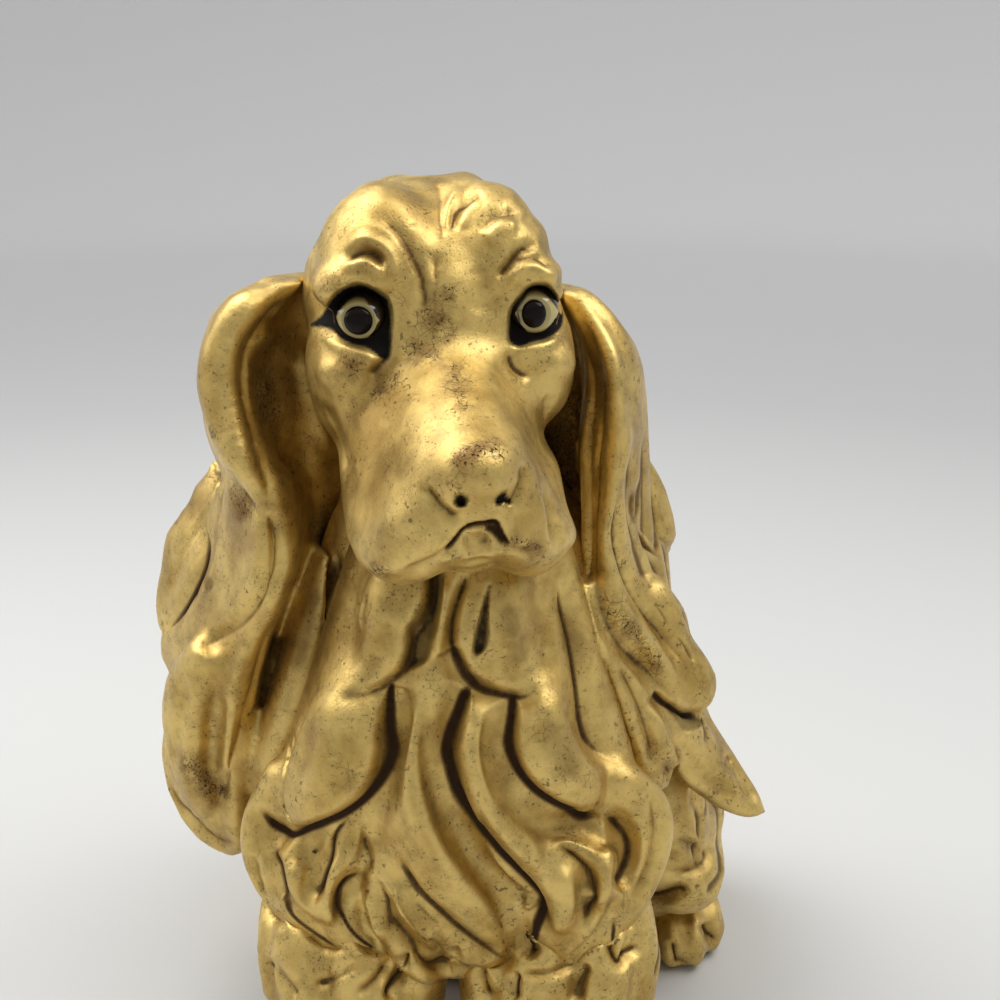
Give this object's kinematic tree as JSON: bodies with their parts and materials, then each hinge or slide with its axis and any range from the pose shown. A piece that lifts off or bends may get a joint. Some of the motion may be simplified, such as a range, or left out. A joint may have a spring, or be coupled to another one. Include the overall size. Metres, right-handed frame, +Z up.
{
  "type": "pottery dog figure",
  "caption": "Seated long-eared spaniel figure in gilded pottery, with a carved wavy coat, inset glass eyes and felt under its feet.",
  "frame": {"origin": "centre of the bounding box on the shelf that the figure stands on", "axes": "+Z up, the figure faces along -Y, and its own left is +X"},
  "size_m": [0.2274, 0.2494, 0.2999],
  "materials": {
    "gilded_pottery": "satin metal leaf over a red-brown ground",
    "cream_glass": "polished opaque glass",
    "black_glass": "polished opaque glass",
    "brown_felt": "pressed wool felt"
  },
  "bodies": {
    "root": {"body_shell": "gilded_pottery", "chest_mane": "gilded_pottery", "head_shell": "gilded_pottery", "ear_left": "gilded_pottery", "ear_right": "gilded_pottery", "foreleg_left": "gilded_pottery", "foreleg_right": "gilded_pottery", "haunch_left": "gilded_pottery", "haunch_right": "gilded_pottery", "hind_paw_left": "gilded_pottery", "hind_paw_right": "gilded_pottery", "tail": "gilded_pottery", "eye_left": "cream_glass", "eye_right": "cream_glass", "pupil_left": "black_glass", "pupil_right": "black_glass", "felt_pad_fore_left": "brown_felt", "felt_pad_fore_right": "brown_felt", "felt_pad_hind_left": "brown_felt", "felt_pad_hind_right": "brown_felt", "felt_ring_rump": "brown_felt"}
  },
  "joints": []
}
